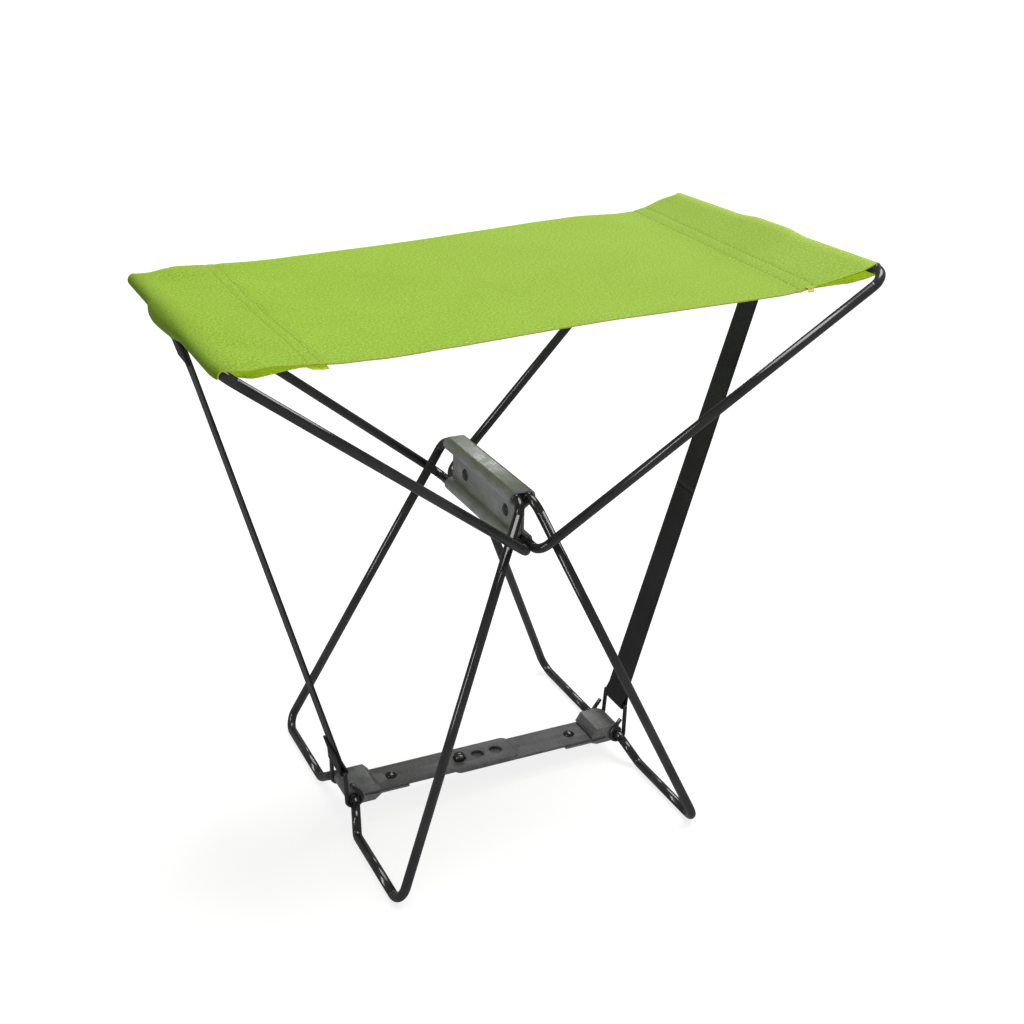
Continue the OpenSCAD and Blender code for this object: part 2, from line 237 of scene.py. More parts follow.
# Lengths along the cloth from its fold line, in metres: where a painted sheen pales its colour, and where it meets
# a wire
PAINTED_SHEEN_SPAN = (-0.16, 0.12)
LEFT_WRAP = (-0.161, -0.148)
RIGHT_WRAP = (0.165, 0.175)


def woven(finish, place):
    """Height of a plain weave: 0 between threads, 1 on top of them, and lower where a thread passes under."""
    split = finish.node("ShaderNodeSeparateXYZ", Vector=place)
    turn = math.pi / (THREAD_PITCH * MM)
    along = finish.math("SINE", finish.math("MULTIPLY", split.outputs[0], turn))
    across = finish.math("SINE", finish.math("MULTIPLY", split.outputs[1], turn))
    over = finish.spread(finish.math("MULTIPLY", along, across), -0.35, 0.35, UNDER_HEIGHT, 1.0)
    under = finish.math("SUBTRACT", 1.0 + UNDER_HEIGHT, over)
    warp = finish.math("MULTIPLY", finish.math("ABSOLUTE", along), over)
    weft = finish.math("MULTIPLY", finish.math("ABSOLUTE", across), under)
    return finish.math("MAXIMUM", warp, weft)


def seat_cloth(name, through, share, wrapped=False):
    """Plain woven seat cloth, painted paler towards its right end as a sheen of light: threads, slubs and
    mottling.

    A share of the light passes through it and takes the colour named through. Where wrapped cloth lies on the
    black wires no light passes through it, and on the left wire it is painted a deeper green as shade.
    """
    finish = Finish(name, CLOTH_GREEN, 0.8)
    place = finish.coordinates("UV")
    lengthwise = finish.node("ShaderNodeSeparateXYZ", Vector=place).outputs[0]
    # Painted sheen: the colour turns paler towards the right end, as light glancing off the cloth would make it
    color = finish.blend(finish.spread(lengthwise, *PAINTED_SHEEN_SPAN), CLOTH_GREEN, SHEEN_PALED_GREEN)
    wobble = finish.node("ShaderNodeTexNoise", Vector=place, Scale=160.0, Detail=2.0)
    shift = finish.node("ShaderNodeVectorMath", Vector=wobble.outputs["Color"])
    shift.operation = "SCALE"
    shift.inputs["Scale"].default_value = THREAD_WANDER * MM
    bent = finish.tree.nodes.new("ShaderNodeVectorMath")
    finish.feed(bent.inputs[0], place)
    finish.feed(bent.inputs[1], shift.outputs[0])
    threads = woven(finish, bent.outputs[0])
    slubs = finish.noise(finish.stretch(place, (1.0, 0.12, 1.0)), 1900, 3)
    grain = finish.spread(finish.noise(place, 880, 3, 0.75), 0.34, 0.66)
    slow = finish.spread(finish.noise(place, 22, 3), 0.3, 0.7)
    pale = [min(1, c * 1.25 + 0.03) for c in SHEEN_PALED_GREEN]
    tone = finish.blend(finish.spread(threads, 0.1, 0.9, 0.55, 0.0), color, DEEP_GREEN)
    tone = finish.blend(finish.spread(slubs, 0.45, 0.75, 0, 0.22), tone, DEEP_GREEN)
    tone = finish.blend(finish.math("MULTIPLY", grain, 0.75), tone, pale)
    tone = finish.blend(finish.math("MULTIPLY_ADD", grain, -0.7, 0.7), tone, DEEP_GREEN)
    tone = finish.blend(finish.math("MULTIPLY", slow, 0.16), tone, DEEP_GREEN)
    if wrapped:
        on_left = finish.spread(lengthwise, *LEFT_WRAP, 1.0, 0.0)
        on_right = finish.spread(lengthwise, *RIGHT_WRAP)
        # Painted shade: the cloth round the left wire is darkened towards this green
        tone = finish.blend(finish.math("MULTIPLY", on_left, 0.9), tone, LEFT_WRAP_SHADE_GREEN)
        free = finish.math("SUBTRACT", 1.0, finish.math("MAXIMUM", on_left, on_right))
        share = finish.math("MULTIPLY", free, share)
    finish.set("Base Color", tone)
    finish.set("Specular IOR Level", 0.08)
    finish.bump(threads, 0.12, 0.8)
    finish.bump(slubs, 0.05, 0.6)
    finish.bump(grain, 0.04, 0.6)
    glow = finish.node("ShaderNodeBsdfTranslucent", Color=(*through, 1), Normal=finish.height)
    both = finish.node("ShaderNodeMixShader")
    finish.feed(both.inputs[0], share)
    finish.feed(both.inputs[1], finish.shader.outputs[0])
    finish.feed(both.inputs[2], glow.outputs[0])
    finish.feed(finish.tree.nodes["Material Output"].inputs["Surface"], both.outputs[0])
    return finish.material


def plain_thread(name, color, deep):
    """Cut edges and sewing thread: a fine twist of lighter and darker fibres."""
    finish = Finish(name, color, 0.7)
    place = finish.coordinates()
    fibres = finish.noise(finish.stretch(place, (1.0, 0.4, 1.0)), 2600, 4, 0.7)
    finish.set("Base Color", finish.blend(finish.spread(fibres, 0.35, 0.65), deep, color))
    finish.set("Specular IOR Level", 0.1)
    finish.bump(fibres, 0.06)
    return finish.material


CORD_PITCH = 1.0
PICK_PITCH = 0.8
PICK_SLANT = 0.9


def strap_webbing(name, color, light):
    """Black webbing: cords along the strap, crossed by fine picks in a herringbone."""
    finish = Finish(name, color, 0.72)
    place = finish.coordinates("UV")
    split = finish.node("ShaderNodeSeparateXYZ", Vector=place)
    along = split.outputs[0]
    across = split.outputs[1]
    cord_turn = finish.math("MULTIPLY", across, math.pi / (CORD_PITCH * MM))
    cords = finish.math("ABSOLUTE", finish.math("SINE", cord_turn))
    zigzag = finish.math("PINGPONG", across, CORD_PITCH * MM)
    slant = finish.math("MULTIPLY_ADD", zigzag, PICK_SLANT, along)
    pick_turn = finish.math("MULTIPLY", slant, math.pi / (PICK_PITCH * MM))
    picks = finish.math("ABSOLUTE", finish.math("SINE", pick_turn))
    height = finish.math("MULTIPLY", cords, finish.spread(picks, 0, 1, 0.55, 1.0))
    fuzz = finish.noise(place, 2600, 3, 0.7)
    slow = finish.spread(finish.noise(place, 30, 2), 0.35, 0.65)
    tone = finish.blend(finish.spread(height, 0.1, 0.9), [c * 0.45 for c in color], color)
    tone = finish.blend(finish.spread(fuzz, 0.55, 0.8, 0, 0.5), tone, light)
    finish.set("Base Color", finish.blend(finish.math("MULTIPLY", slow, 0.25), tone, light))
    finish.set("Sheen Weight", 0.05)
    finish.set("Sheen Roughness", 0.4)
    finish.set("Specular IOR Level", 0.15)
    finish.bump(height, 0.1, 0.7)
    finish.bump(fuzz, 0.04)
    return finish.material


MATERIALS = {
    "wire": lacquered("wire_lacquer", (0.023, 0.0232, 0.0238), (0.032, 0.0322, 0.0328), 0.16),
    "clamp_sheet": coated_sheet(
        "clamp_coating", (0.25, 0.252, 0.256), (0.35, 0.352, 0.358), 0.36, metallic=0.4
    ),
    "bracket_sheet": coated_sheet("bracket_coating", (0.135, 0.1355, 0.138), (0.235, 0.236, 0.239), 0.4),
    "brace_sheet": coated_sheet("brace_coating", (0.095, 0.0955, 0.098), (0.15, 0.151, 0.154), 0.46),
    "rivets": lacquered("rivet_lacquer", (0.016, 0.0162, 0.0168), (0.03, 0.0302, 0.031), 0.2, peel=0.9),
    "ring_wire": lacquered("ring_lacquer", (0.018, 0.0182, 0.0188), (0.03, 0.0302, 0.031), 0.22, peel=0.8),
    "webbing": strap_webbing("strap_webbing", (0.0205, 0.0205, 0.022), (0.045, 0.045, 0.047)),
    "seat_fabric": seat_cloth("seat_cloth", TOP_GLOW, 0.35, wrapped=True),
}
LOWER_CLOTH = seat_cloth("lower_seat_cloth", LOWER_GLOW, 0.7)
CUT_EDGE = plain_thread("seat_cut_edge", (0.4, 0.52, 0.05), (0.22, 0.32, 0.02))
SEAT_THREAD = plain_thread("seat_thread", (0.26, 0.42, 0.028), (0.17, 0.29, 0.017))
TACK_THREAD = plain_thread("seat_tack_thread", (0.75, 0.68, 0.06), (0.5, 0.45, 0.03))
STRAP_THREAD = plain_thread("strap_thread", (0.035, 0.035, 0.037), (0.012, 0.012, 0.014))


# ---------------------------------------------------------------- hard parts, straight from the CAD model

SOFT_NODES = ("fabric", "strap_upper", "strap_lower")
EDGE_RADIUS = {"clamp_sheet": 0.28, "bracket_sheet": 0.28, "brace_sheet": 0.3}
EDGE_ANGLE = math.radians(38)
WELD_DISTANCE = 0.002


def soften_edges(obj, radius):
    """Joins the imported faces, and rounds the sheared edges of a sheet."""
    weld = obj.modifiers.new("weld", "WELD")
    weld.merge_threshold = WELD_DISTANCE * MM
    if radius:
        bevel = obj.modifiers.new("edges", "BEVEL")
        bevel.width = radius * MM
        bevel.segments = 2
        bevel.limit_method = "ANGLE"
        bevel.angle_limit = EDGE_ANGLE
        bevel.use_clamp_overlap = True


def finish_hard_parts():
    for part in frame["record"]["subparts"]:
        name = part["node"]
        slot = part["material_slot"]
        if name.endswith(SOFT_NODES):
            continue
        obj = frame["nodes"][name]
        obj.data.materials.clear()
        obj.data.materials.append(MATERIALS[slot])
        obj.data.polygons.foreach_set("use_smooth", [True] * len(obj.data.polygons))
        soften_edges(obj, EDGE_RADIUS.get(slot, 0))


# ---------------------------------------------------------------- seat fabric

WIRE_R = 2.5
CLOTH = 0.6
WRAP_R = WIRE_R + CLOTH / 2 + 0.15
WRAP_TURN = 172
WRAP_STEPS = 22
CORNER_R = 8.0
CORNER_REACH = 6.5
ARM_HEADING = Vector((0.79, -0.61))
STRAP_BUMP = 1.5
SLOT_HALF = 14.0
SLOT_LENGTH = 14.0
LIP_DROP = 1.7
FOLD_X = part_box("left_seat_fabric")[1].x / MM
MID_DROP = 3.9
REAR_REACH = 6.0
FRONT_REACH = 3.0
REAR_LIFT = 2.4
LAYER_GAP = CLOTH + 0.12
HEM = 3.0
COLUMNS = 96
# The cloth's length is measured this many columns from its middle, clear of the strap's bump
BESIDE_STRAP = 12
CELL = 2.1
# Half of the seat's width, at shares of the way from the left wire to the right one
HALF_WIDTHS = [(0.0, 80.0), (0.11, 85.0), (0.49, 86.0), (0.67, 88.4), (0.83, 92.0), (0.96, 91.5), (1.0, 89.0)]


def curve(stations, t):
    """A smooth curve through (t, value) stations."""
    i = next((k for k, station in enumerate(stations) if station[0] >= t), len(stations) - 1)
    i = max(1, i)
    (t0, a), (t1, b) = stations[i - 1], stations[i]

    def slope(k):
        low = stations[max(0, k - 1)]
        high = stations[min(len(stations) - 1, k + 1)]
        return (high[1] - low[1]) / (high[0] - low[0]) * (t1 - t0)

    s = clamp01((t - t0) / (t1 - t0))
    ends = a * (1 + 2 * s) * (1 - s) ** 2 + b * (3 - 2 * s) * s ** 2
    return ends + slope(i - 1) * s * (1 - s) ** 2 - slope(i) * (1 - s) * s ** 2


class SeatEnd:
    """One end of the seat: the wire it is wrapped on, and how the cloth lies near it.

    u is the distance inward from the wire. The wire's corners begin at bend_y. The first line of stitches is
    at seam_u, the second is seam_gap further, and slant skews both. The cloth rises to the wire over
    rise_length. bulge, flap and mouth are how far the lower layer hangs at its middle, at its hem's corners
    and at its open ends.
    """

    def __init__(
        self, side, wire, half_width, bend_y, seam_u, seam_gap, slant, rise_length, bulge, flap, mouth
    ):
        self.side = side
        self.wire = wire
        self.half_width = half_width
        self.bend_y = bend_y
        self.seam_u = seam_u
        self.seam_gap = seam_gap
        self.slant = slant
        self.rise_length = rise_length
        self.bulge = bulge
        self.flap = flap
        self.mouth = mouth

    def x(self, u):
        return self.wire.x - self.side * u

    def inward(self, u, v):
        """Distance inward at share v across, on row u: the rows near a slanted seam run along it."""
        near = smooth_step(0, self.seam_u, u) * (1 - smooth_step(self.seam_u + 20, self.seam_u + 80, u))
        return u - self.slant * v * near

    def bump(self, y):
        """How far the strap's loop pushes the cloth out."""
        return STRAP_BUMP * (1 - smooth_step(11.5, 32, abs(y)))

    def corner(self, y):
        """How far the cloth follows the wire's rounded corner, as (inward, down)."""
        over = min(max(0.0, abs(y) - self.bend_y), CORNER_REACH)
        back = CORNER_R - math.sqrt(CORNER_R ** 2 - over ** 2)
        return ARM_HEADING * back


LEFT = SeatEnd(
    side=-1, wire=PIVOTS["left_seat_hang"], half_width=80.0, bend_y=75.0,
    seam_u=37.8, seam_gap=5.1, slant=0.0, rise_length=72.0, bulge=0.2, flap=1.2, mouth=2.0,
)
RIGHT = SeatEnd(
    side=1, wire=PIVOTS["right_seat_hang"], half_width=89.0, bend_y=91.0,
    seam_u=30.7, seam_gap=8.2, slant=7.2, rise_length=50.0, bulge=0.3, flap=0.0, mouth=0.9,
)


def along_seat(x):
    return (x - LEFT.wire.x) / (RIGHT.wire.x - LEFT.wire.x)


def half_width(t, v):
    """Half of the seat's width. The cloth reaches further at the rear right and the front left corner."""
    rear = REAR_REACH * smooth_step(0.9, 1.0, t)
    front = FRONT_REACH * (1 - smooth_step(0, 0.12, t))
    return curve(HALF_WIDTHS, t) + (rear if v > 0 else front)


def wire_line(x):
    """Height of the straight line between the two top wires."""
    return mix(LEFT.wire.z, RIGHT.wire.z, along_seat(x))


def ripple(x, y):
    """Slow waves of slack cloth, deepest near the left end."""
    near_left = math.exp(-(x - LEFT.wire.x) / 42)
    near_right = math.exp(-(RIGHT.wire.x - x) / 30)
    slack = noise.noise(Vector((x / 55, y / 38, 1.7)))
    folds = noise.noise(Vector((x / 34 + y / 60, y / 21, 5.2)))
    creases = noise.noise(Vector((x / 16 + y / 40, y / 11, 8.8)))
    return 0.55 * slack + (2.3 * near_left + 0.7 * near_right) * folds + (1.5 * near_left + 0.1) * creases


def rear_lift(x, y):
    """The rear edge is tauter than the rest, so it sags less."""
    free = smooth_step(0, 28, x - LEFT.wire.x) * smooth_step(30, 75, RIGHT.wire.x - x)
    return REAR_LIFT * free * smooth_step(10, 88, y)


def from_seam(end, u):
    return min(abs(u - end.seam_u), abs(u - end.seam_u - end.seam_gap))


def seam_relief(end, u, y):
    """The stitches pull a shallow groove into the cloth, with fine gathers beside it."""
    away = from_seam(end, u)
    gathers = 0.2 * math.exp(-(away / 2.6) ** 2) * noise.noise(Vector((u / 9, y / 3.2, 9.1)))
    return gathers - 0.3 * math.exp(-(away / 0.9) ** 2)


def top_height(end, u, x, y):
    """Height of the cloth's middle over the line between the wires, for the top layer."""
    radius = WRAP_R + end.bump(y)
    rise = (radius + MID_DROP) * (1 - clamp01(u / end.rise_length)) ** 1.5
    relief = smooth_step(0, 14, u) * (ripple(x, y) + seam_relief(end, u, y))
    return rise - MID_DROP + rear_lift(x, y) + relief


def top_point(end, u, v):
    x = end.x(end.inward(u, v))
    y = half_width(along_seat(x), v) * v
    corner = end.corner(y) * (1 - smooth_step(0, 24, u))
    curl = -0.5 * smooth_step(0.94, 1.0, abs(v))
    return Vector((x - end.side * corner.x, y, wire_line(x) + top_height(end, u, x, y) + corner.y + curl))


def lower_half_width(end, u):
    """The lower layer is cut back at the frame's corner, where the arm comes out of the sleeve."""
    cut = min(end.half_width, end.bend_y + 1.0)
    full = max(end.half_width, curve(HALF_WIDTHS, along_seat(end.x(u)))) - 0.3
    return mix(cut, full, smooth_step(7, 15, u))


def wrap_point(end, turn, v):
    """A point of the wrap: turn runs from 0 on top of the wire to 1 under it."""
    angle = math.radians(90 + WRAP_TURN * turn)
    y = mix(half_width(along_seat(end.wire.x), v), lower_half_width(end, 0), smooth_step(0.5, 1.0, turn)) * v
    lip = LIP_DROP * (smooth_step(-30, 12, y) - smooth_step(22, 35, y)) * smooth_step(0.25, 0.75, turn)
    if end.side > 0:
        lip *= 0.3
    radius = WRAP_R + end.bump(y) + lip * (1 - 0.6 * smooth_step(0.8, 1.0, turn))
    corner = end.corner(y)
    out = radius * math.cos(angle)
    return Vector((
        end.wire.x - end.side * (out + corner.x), y, end.wire.z + radius * math.sin(angle) + corner.y
    ))


def lower_point(end, u, v):
    x = end.x(end.inward(u, v))
    flap = end.flap * smooth_step(end.seam_u - 2, end.seam_u + 1.5, u) * smooth_step(0.93, 1.0, abs(v))
    y = (lower_half_width(end, u) + 0.8 * flap) * v
    if u >= end.seam_u:
        height = top_height(end, u, x, y) - LAYER_GAP
    else:
        start = wrap_point(end, 1.0, v).z - end.wire.z
        at_seam = top_height(end, end.seam_u, x, y) - LAYER_GAP
        share = u / end.seam_u
        sag = end.bulge + 0.5 * noise.noise(Vector((x / 14, y / 10, 3.3)))
        open_mouth = end.mouth * smooth_step(0.8, 1.0, abs(v)) * smooth_step(0, 0.2, share)
        open_mouth *= 1 - smooth_step(0.2, 0.9, share)
        height = mix(start, at_seam, share) - sag * math.sin(math.pi * share) - open_mouth
    return Vector((x, y, wire_line(x) + height - 1.3 * flap))


def lower_stations(end):
    near = steps(1.5, end.seam_u - 3, CELL)
    seams = [end.seam_u - 1, end.seam_u, end.seam_u + 1]
    hem_end = end.seam_u + end.seam_gap + HEM
    return near + seams + steps(end.seam_u + 2.5, hem_end, 1.5)


def top_stations(end):
    """Distances from the wire to the fold line, closer together at the two lines of stitches."""
    first = end.seam_u
    second = end.seam_u + end.seam_gap
    fine = [-1.6, -0.8, 0, 0.8, 1.6]
    near = steps(2, first - 3, CELL) + [first + d for d in fine] + [second + d for d in fine]
    return near + steps(second + 3.4, abs(end.x(0) - FOLD_X), CELL)


class Row:
    """One line of points across the seat."""

    def __init__(self, place, end, kind, at):
        self.end = end
        self.kind = kind
        self.at = at
        self.points = [place(end, at, 2 * i / COLUMNS - 1) for i in range(COLUMNS + 1)]


def end_rows(end):
    """All rows of one end, from the hem round the wire to the fold line."""
    rows = [Row(lower_point, end, "lower", u) for u in reversed(lower_stations(end))]
    rows += [Row(wrap_point, end, "wrap", 1 - i / WRAP_STEPS) for i in range(WRAP_STEPS)]
    rows += [Row(top_point, end, "top", u) for u in [0.0] + top_stations(end)]
    return rows


def in_slot(row, next_row, column):
    """True for the cells that the strap comes out through."""
    y = (row.points[column].y + row.points[column + 1].y) / 2
    if abs(y) > SLOT_HALF:
        return False
    if row.kind == "wrap":
        return row.at > 0.74
    return row.kind == "lower" and max(row.at, next_row.at if next_row.kind == "lower" else 0) < SLOT_LENGTH


def fabric_uvs(rows):
    """Lengths along and across the cloth, in metres, from the fold line, so that both halves agree."""
    middle = COLUMNS // 2 + BESIDE_STRAP
    travelled = [0.0]
    for row, after in zip(rows, rows[1:]):
        travelled.append(travelled[-1] + (after.points[middle] - row.points[middle]).length)
    side = rows[0].end.side
    return [
        (side * (travelled[-1] - distance) * MM, point.y * MM)
        for row, distance in zip(rows, travelled) for point in row.points
    ]


def fabric_piece(name, rows, body, *stands_for):
    """The cloth between the rows, with its cut edges, as one piece."""
    points = [p for row in rows for p in row.points]
    width = COLUMNS + 1
    faces = []
    finishes = []
    for i in range(len(rows) - 1):
        for j in range(COLUMNS):
            if in_slot(rows[i], rows[i + 1], j):
                continue
            face = (i * width + j, i * width + j + 1, (i + 1) * width + j + 1, (i + 1) * width + j)
            faces.append(face if rows[0].end.side < 0 else face[::-1])
            finishes.append(2 if rows[i].kind == "lower" else 0)
    obj = make_object(name, points, faces, fabric_uvs(rows))
    for material in (MATERIALS["seat_fabric"], CUT_EDGE, LOWER_CLOTH):
        obj.data.materials.append(material)
    obj.data.polygons.foreach_set("material_index", finishes)
    thick = obj.modifiers.new("cloth", "SOLIDIFY")
    thick.thickness = CLOTH * MM
    thick.offset = 0
    thick.use_even_offset = True
    thick.material_offset_rim = 1
    crisp = obj.modifiers.new("cut_edges", "EDGE_SPLIT")
    crisp.split_angle = math.radians(60)
    crisp.use_edge_sharp = False
    # The cloth's own green isn't mirrored in the lacquer
    obj.visible_glossy = False
    return add_piece(obj, body, "seat_fabric", None, *stands_for)


def stitch_line(points, lift, pitch=3.3, length=2.4, radius=0.21):
    """Short raised threads along a line of points, as (points, faces). lift moves them off the line."""
    sides = 6
    rings = [(-0.5, 0.35), (-0.36, 0.95), (0.0, 1.15), (0.36, 0.95), (0.5, 0.35)]
    path = [Vector(p) for p in points]
    lengths = [0.0]
    for a, b in zip(path, path[1:]):
        lengths.append(lengths[-1] + (b - a).length)

    def at(distance):
        distance = max(0.0, min(lengths[-1], distance))
        i = max(k for k in range(len(lengths) - 1) if lengths[k] <= distance)
        share = (distance - lengths[i]) / (lengths[i + 1] - lengths[i])
        return path[i].lerp(path[i + 1], share)

    made = []
    faces = []
    for k in range(int(lengths[-1] / pitch)):
        centre = (k + 0.5) * pitch
        first = len(made)
        heading = (at(centre + 1) - at(centre - 1)).normalized()
        up = Vector(lift).normalized()
        out = heading.cross(up).normalized()
        for share, size in rings:
            middle = at(centre + share * length) + Vector(lift) + up * (-0.12 * abs(share * 2) ** 3)
            for s in range(sides):
                turn = 2 * math.pi * s / sides
                made.append(middle + (out * math.cos(turn) + up * math.sin(turn) * 0.7) * radius * size)
        for r in range(len(rings) - 1):
            for s in range(sides):
                a = first + r * sides + s
                b = first + r * sides + (s + 1) % sides
                faces.append((a, b, b + sides, a + sides))
        faces.append(tuple(first + s for s in range(sides))[::-1])
        faces.append(tuple(first + (len(rings) - 1) * sides + s for s in range(sides)))
    return made, faces


def join_parts(name, parts):
    """One object from several (points, faces) parts."""
    points = []
    faces = []
    for part_points, part_faces in parts:
        start = len(points)
        points += part_points
        faces += [tuple(start + i for i in face) for face in part_faces]
    return make_object(name, points, faces)


def seam_row(rows, u):
    """The top layer's row on a line of stitches."""
    return next(row for row in rows if row.kind == "top" and abs(row.at - u) < 1e-6)


def seat_stitches(name, rows, body):
    end = rows[0].end
    parts = []
    for u in (end.seam_u, end.seam_u + end.seam_gap):
        top = seam_row(rows, u)
        parts.append(stitch_line(top.points[1:-1], (0, 0, CLOTH / 2 + 0.06)))
        below = [p - Vector((0, 0, LAYER_GAP + CLOTH / 2 + 0.1)) for p in top.points[3:-3]]
        parts.append(stitch_line(below, (0, 0, -0.05)))
    obj = join_parts(name, parts)
    return add_piece(obj, body, "seat_fabric", SEAT_THREAD)


TACK_THREADS = 5
TACK_PITCH = 0.7
TACK_SHIFT = 3.4


def seam_tack(name, rows, body):
    """A few bright threads that bind the front end of a seam."""
    first = seam_row(rows, rows[0].end.seam_u).points[0]
    parts = []
    for i in range(TACK_THREADS):
        x = first.x - TACK_SHIFT + TACK_PITCH * (i - TACK_THREADS // 2)
        front = [Vector((x, first.y + 1.6, first.z + 0.45)), Vector((x, first.y - 0.9, first.z + 0.1)),
                 Vector((x, first.y - 1.1, first.z - 1.6)), Vector((x, first.y + 0.6, first.z - 2.6))]
        parts.append(stitch_line(front, (0, -0.05, 0.02), pitch=1.7, length=1.9, radius=0.3))
    return add_piece(join_parts(name, parts), body, "seat_fabric", TACK_THREAD)


def make_seat():
    for end, side in ((LEFT, "left"), (RIGHT, "right")):
        rows = end_rows(end)
        body = f"{side}_seat"
        pieces = [
            fabric_piece(f"{side}_seat_cloth", rows, body, f"{side}_seat_fabric"),
            seat_stitches(f"{side}_seat_stitches", rows, body),
        ]
        if end is RIGHT:
            pieces.append(seam_tack("right_seat_tack", rows, body))
        for piece in pieces:
            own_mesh(piece)


# ---------------------------------------------------------------- straps

STRAP_W = 20.0
STRAP_T = 1.3
LOOP_GAP = 0.1
RING_BAR_R = 1.2
RING_HEIGHT = 17.0
SEWN = 8.0
RING_NECK = 6.0
WIRE_NECK = 12.0
LEAF_X = STRAP_T / 2 + 0.05
STRAP_FACE = STRAP_T + 0.07


def arc(centre, radius, start, end, count):
    """Points (across, along) on an arc, with angles in degrees."""
    return [
        (
            centre[0] + radius * math.cos(math.radians(mix(start, end, i / count))),
            centre[1] + radius * math.sin(math.radians(mix(start, end, i / count))),
        )
        for i in range(count + 1)
    ]


def strap_section():
    """Outline (across the strap, through it) of webbing with rounded edges."""
    half_w = STRAP_W / 2
    half_t = STRAP_T / 2
    edge = half_t * 0.98
    outline = [(half_w - edge + edge * math.cos(t), half_t * math.sin(t)) for t in
               [math.radians(a) for a in (-60, -30, 0, 30, 60, 90)]]
    outline += [(y, half_t) for y in (6.0, 3.0, 0.0, -3.0, -6.0)]
    outline += [(-half_w + edge + edge * math.cos(t), half_t * math.sin(t)) for t in
                [math.radians(a) for a in (90, 120, 150, 180, 210, 240, 270)]]
    outline += [(y, -half_t) for y in (-6.0, -3.0, 0.0, 3.0, 6.0)]
    outline += [(half_w - edge, -half_t)]
    return outline


def dense(path, size=2.5):
    """The same path with extra points on its long stretches."""
    made = [path[0]]
    for a, b in zip(path, path[1:]):
        count = max(1, round(math.dist(a, b) / size))
        made += [(mix(a[0], b[0], i / count), mix(a[1], b[1], i / count)) for i in range(1, count + 1)]
    return made


def sweep_strap(path, place):
    """Webbing along a path of (across, along) points. place turns (across, y, along) into frame axes."""
    outline = strap_section()
    count = len(outline)
    points = []
    uvs = []
    travelled = 0.0
    for i, here in enumerate(path):
        before = path[max(0, i - 1)]
        after = path[min(len(path) - 1, i + 1)]
        travelled += math.dist(before, here) if i else 0.0
        heading = Vector((after[0] - before[0], after[1] - before[1])).normalized()
        across = Vector((-heading.y, heading.x))
        for y, t in outline:
            points.append(place(here[0] + across.x * t, y, here[1] + across.y * t))
            uvs.append((travelled * MM, (y + t * 0.3) * MM))
    faces = []
    for i in range(len(path) - 1):
        for k in range(count):
            a = i * count + k
            b = i * count + (k + 1) % count
            faces.append((a, b, b + count, a + count))
    faces.append(tuple(range(count))[::-1])
    faces.append(tuple((len(path) - 1) * count + k for k in range(count)))
    return points, faces, uvs


def bar_stitches(place, low, high, x):
    """Rows of stitches across one face of the strap."""
    half = STRAP_W / 2 - 2.5
    push = (place(x, 0, 0) - place(0, 0, 0)).normalized() * 0.08
    return [
        stitch_line([place(x, y, z) for y in steps(-half, half, 3)], push, pitch=2.4, length=1.9, radius=0.2)
        for z in steps(low, high, 2.6)
    ]


def strap_path(bend, neck, loop, sewn):
    """From the bend along the main leaf, round the loop, and back along the short leaf."""
    return [(LEAF_X, bend), (LEAF_X, neck), *loop, (-LEAF_X, neck), (-LEAF_X, neck + sewn)]


def make_strap(side, name, top_wire, raised_wire, bend, twist):
    """Both halves of one strap. Its short leaves are sewn back on the outer side.

    twist is how far, near the top, the rear edge is pulled outward, or inward below zero.
    """
    direction = (top_wire - raised_wire).normalized()
    inward = Vector((-side * direction.z, 0, side * direction.x))
    length = (top_wire - raised_wire).length

    def place(across, y, along):
        turn = clamp01(along / length) * smooth_step(length - 6, length - 40, along)
        across -= twist * turn * (y / STRAP_W + 0.5)
        return raised_wire + inward * across + direction * along + Vector((0, y, 0))

    ring_loop = arc((0, RING_HEIGHT), RING_BAR_R + LOOP_GAP + STRAP_T / 2, 360, 180, 20)
    ring_sewn = RING_HEIGHT + RING_NECK
    wire_loop = arc((0, length), WIRE_R + LOOP_GAP + STRAP_T / 2, 0, 180, 24)
    wire_sewn = length - WIRE_NECK
    lower = strap_path(bend, ring_sewn, ring_loop, SEWN)
    upper = strap_path(bend, wire_sewn, wire_loop, -SEWN)
    for part, path, body in (("lower", lower, "ring"), ("upper", upper, "strap")):
        points, faces, uvs = sweep_strap(dense(path), place)
        obj = make_object(f"{name}_{part}_webbing", points, faces, uvs)
        add_piece(obj, f"{name}_{body}", "webbing", MATERIALS["webbing"], f"{name}_strap_{part}")
    sewn = {"lower": (ring_sewn + 1, ring_sewn + SEWN - 1.5, "ring"),
            "upper": (wire_sewn - SEWN + 1.5, wire_sewn - 1, "strap")}
    for part, (low, high, body) in sewn.items():
        parts = bar_stitches(place, low, high, STRAP_FACE) + bar_stitches(place, low, high, -STRAP_FACE)
        add_piece(join_parts(f"{name}_{part}_stitches", parts), f"{name}_{body}", "webbing", STRAP_THREAD)


def make_straps():
    make_strap(-1, "left", PIVOTS["left_seat_hang"], PIVOTS["left_ring_swing"], bend=151.1, twist=-0.8)
    make_strap(1, "right", PIVOTS["right_seat_hang"], PIVOTS["right_ring_swing"], bend=152.2, twist=3.6)


# ---------------------------------------------------------------- studio

FLOOR_GLOW = 0.8


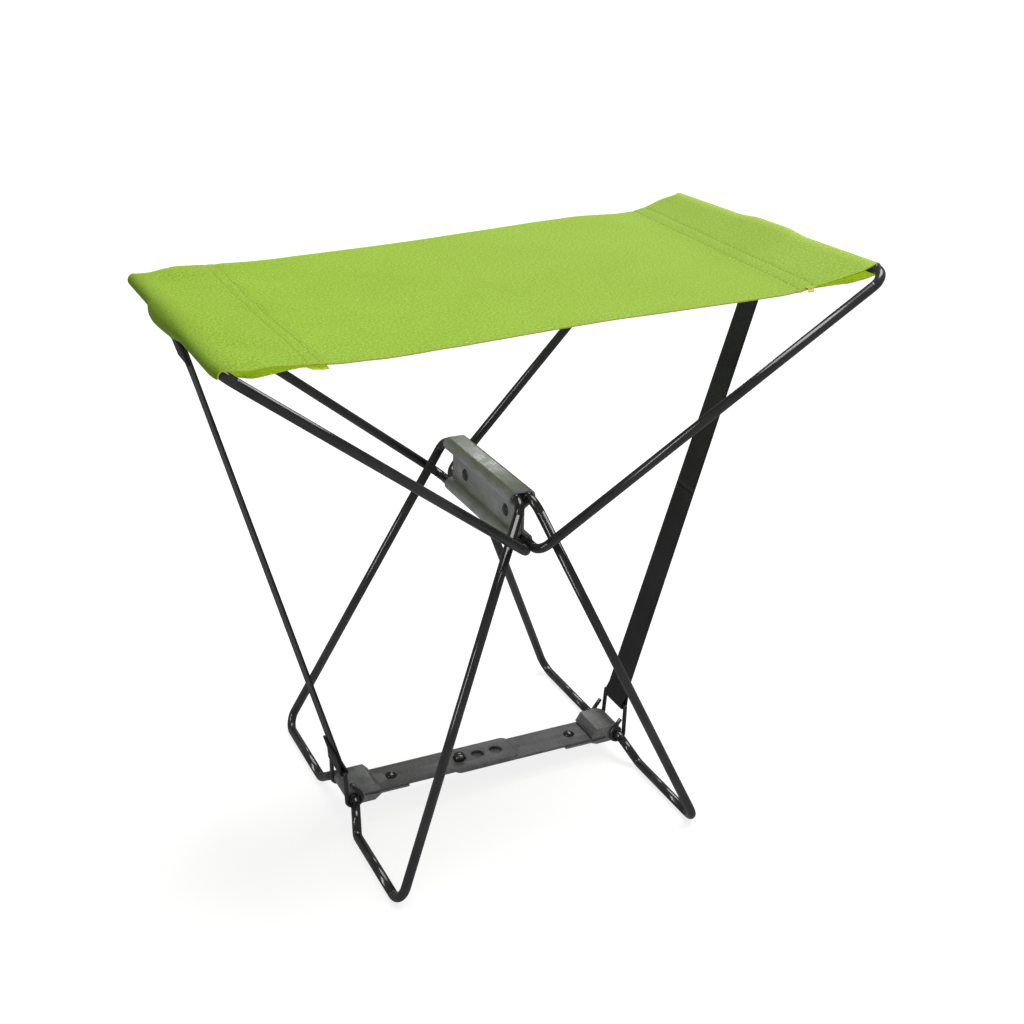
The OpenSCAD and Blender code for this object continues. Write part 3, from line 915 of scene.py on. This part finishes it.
def make_floor():
    """A pale floor that glows a little, as a white sweep does."""
    bpy.ops.mesh.primitive_plane_add(size=30, location=(0, 0, -0.0002))
    floor = bpy.context.object
    floor.name = "studio_floor"
    finish = Finish("studio_floor", (0.3, 0.3, 0.3), 0.8)
    mottle = finish.spread(finish.noise(finish.coordinates(), 3, 3), 0.3, 0.7)
    finish.set("Base Color", finish.blend(mottle, (0.29, 0.29, 0.29), (0.31, 0.31, 0.31)))
    finish.set("Specular IOR Level", 0.0)
    finish.set("Emission Color", (1, 1, 1, 1))
    finish.set("Emission Strength", FLOOR_GLOW)
    floor.data.materials.append(finish.material)
    floor.visible_glossy = False


def aim(obj, location, target):
    obj.location = location
    obj.rotation_euler = (Vector(target) - Vector(location)).to_track_quat("-Z", "Y").to_euler()
    bpy.context.scene.collection.objects.link(obj)


def make_sun(location, strength, softness):
    data = bpy.data.lights.new("overhead", "SUN")
    data.energy = strength
    data.angle = math.radians(softness)
    aim(bpy.data.objects.new("overhead", data), location, (0, 0, 0))


def make_strip(name, location, width, height, power):
    """A softbox that only shows as a reflection."""
    data = bpy.data.lights.new(name, "AREA")
    data.shape = "RECTANGLE"
    data.size = width
    data.size_y = height
    data.energy = power
    obj = bpy.data.objects.new(name, data)
    obj.visible_diffuse = False
    obj.visible_transmission = False
    aim(obj, location, (0, 0, 0.17))


def make_world(strength, mirrored):
    """An even white surround, which looks darker when it is mirrored in the lacquer."""
    world = bpy.data.worlds.new("studio")
    world.use_nodes = True
    tree = world.node_tree
    path = tree.nodes.new("ShaderNodeLightPath")
    level = tree.nodes.new("ShaderNodeMapRange")
    level.inputs["To Min"].default_value = strength
    level.inputs["To Max"].default_value = mirrored
    tree.links.new(path.outputs["Is Glossy Ray"], level.inputs["Value"])
    tree.nodes["Background"].inputs["Color"].default_value = (1, 1, 1, 1)
    tree.links.new(level.outputs["Result"], tree.nodes["Background"].inputs["Strength"])
    bpy.context.scene.world = world


def make_lights():
    make_world(strength=0.4, mirrored=0.2)
    make_sun((0.3, 0.1, 1.0), strength=3.4, softness=40)
    make_strip("left_strip", (-1.4, -0.3, 0.75), width=0.22, height=1.3, power=14)
    make_strip("rear_box", (0.6, 1.3, 0.75), width=0.3, height=0.3, power=2)


CAMERA_TARGET = Vector((10.77, -8.64, 166.82)) * MM
CAMERA_AZIMUTH = -26.22
CAMERA_ELEVATION = 23.69
CAMERA_ROLL = 1.48
CAMERA_DISTANCE = 751.0 * MM
CAMERA_LENS = 49.92


def make_camera():
    """Azimuth 0 looks along +Y. Roll turns the picture about the line of sight."""
    data = bpy.data.cameras.new("camera")
    data.lens = CAMERA_LENS
    data.sensor_width = 36
    data.clip_start = 0.05
    data.clip_end = 60
    obj = bpy.data.objects.new("camera", data)
    azimuth = math.radians(CAMERA_AZIMUTH)
    elevation = math.radians(CAMERA_ELEVATION)
    back = Vector((
        math.sin(azimuth) * math.cos(elevation), -math.cos(azimuth) * math.cos(elevation), math.sin(elevation)
    ))
    obj.location = CAMERA_TARGET + back * CAMERA_DISTANCE
    facing = (-back).to_track_quat("-Z", "Y").to_matrix().to_4x4()
    obj.rotation_euler = (facing @ Matrix.Rotation(math.radians(CAMERA_ROLL), 4, "Z")).to_euler()
    bpy.context.scene.collection.objects.link(obj)
    bpy.context.scene.camera = obj


finish_hard_parts()
make_seat()
make_straps()
make_floor()
make_lights()
make_camera()
bpy.context.scene.view_settings.view_transform = "Standard"
